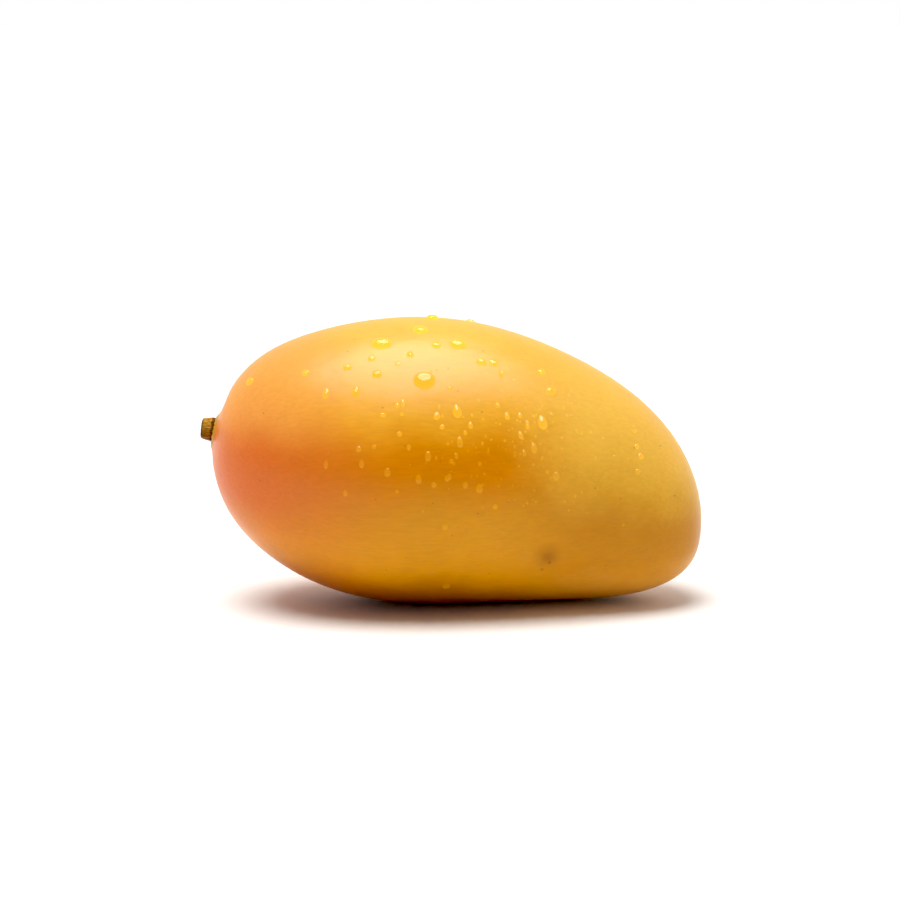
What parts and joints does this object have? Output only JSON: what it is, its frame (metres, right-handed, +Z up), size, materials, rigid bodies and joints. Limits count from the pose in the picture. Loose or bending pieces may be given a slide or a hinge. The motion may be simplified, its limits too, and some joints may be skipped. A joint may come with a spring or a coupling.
{
  "type": "mango",
  "caption": "Whole ripe mango lying on its side, with a short woody stem stub and water drops on its smooth yellow-orange skin.",
  "frame": {"origin": "middle of the small flat of skin that the fruit rests on", "axes": "+X along the fruit from its stem end towards its nose, +Y away from the side with the water drops, +Z up"},
  "size_m": [0.1212, 0.0672, 0.0695],
  "materials": {
    "skin": "smooth waxy fruit skin with a satin gloss, yellow-orange with a red blush at the stem end",
    "stem": "dry brown bark with a cut end, matt",
    "water": "clear water drops, wet and smooth"
  },
  "bodies": {
    "root": {"fruit": "skin", "stem_stub": "stem"}
  },
  "joints": []
}
